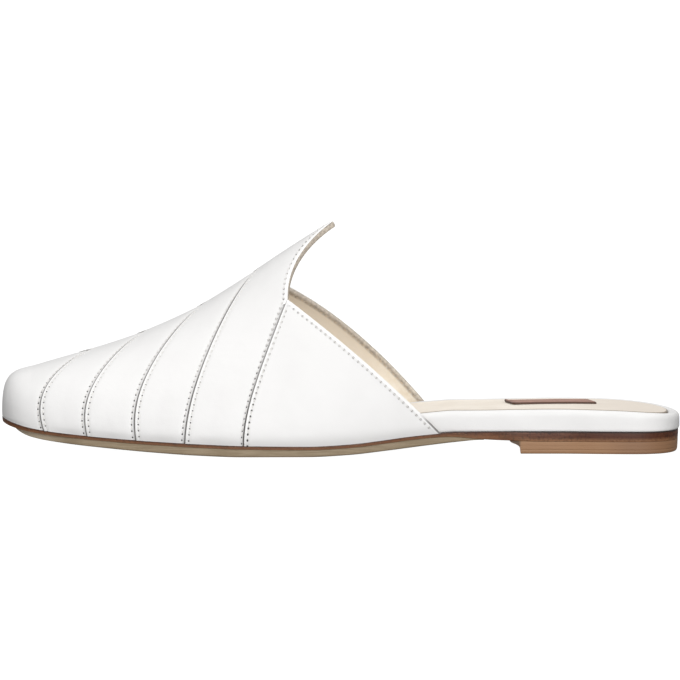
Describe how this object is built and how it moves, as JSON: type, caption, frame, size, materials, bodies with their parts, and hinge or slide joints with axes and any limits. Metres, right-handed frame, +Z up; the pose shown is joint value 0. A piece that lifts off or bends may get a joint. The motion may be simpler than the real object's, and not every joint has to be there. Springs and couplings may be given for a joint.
{
  "type": "flat leather mule shoe",
  "caption": "Flat closed-toe leather mule for the left foot: lapped vamp panels rising to a pointed tongue, open back, wrapped footbed and a low stacked heel.",
  "frame": {"origin": "on the floor, under the middle of the shoe's bounding box", "axes": "+X from toe to heel, +Y towards the inner side of the foot, +Z up from the floor"},
  "size_m": [0.2604, 0.0856, 0.0877],
  "materials": {
    "white_leather": "smooth satin calf",
    "cream_leather": "soft matt lining leather",
    "tan_leather": "smooth satin",
    "brown_leather": "burnished edge",
    "khaki_leather": "matt sole leather",
    "stacked_leather": "waxed stack"
  },
  "bodies": {
    "root": {"upper": "white_leather", "footbed": "white_leather", "sock": "cream_leather", "label_patch": "tan_leather", "midsole": "brown_leather", "outsole": "khaki_leather", "heel_block": "stacked_leather"}
  },
  "joints": []
}
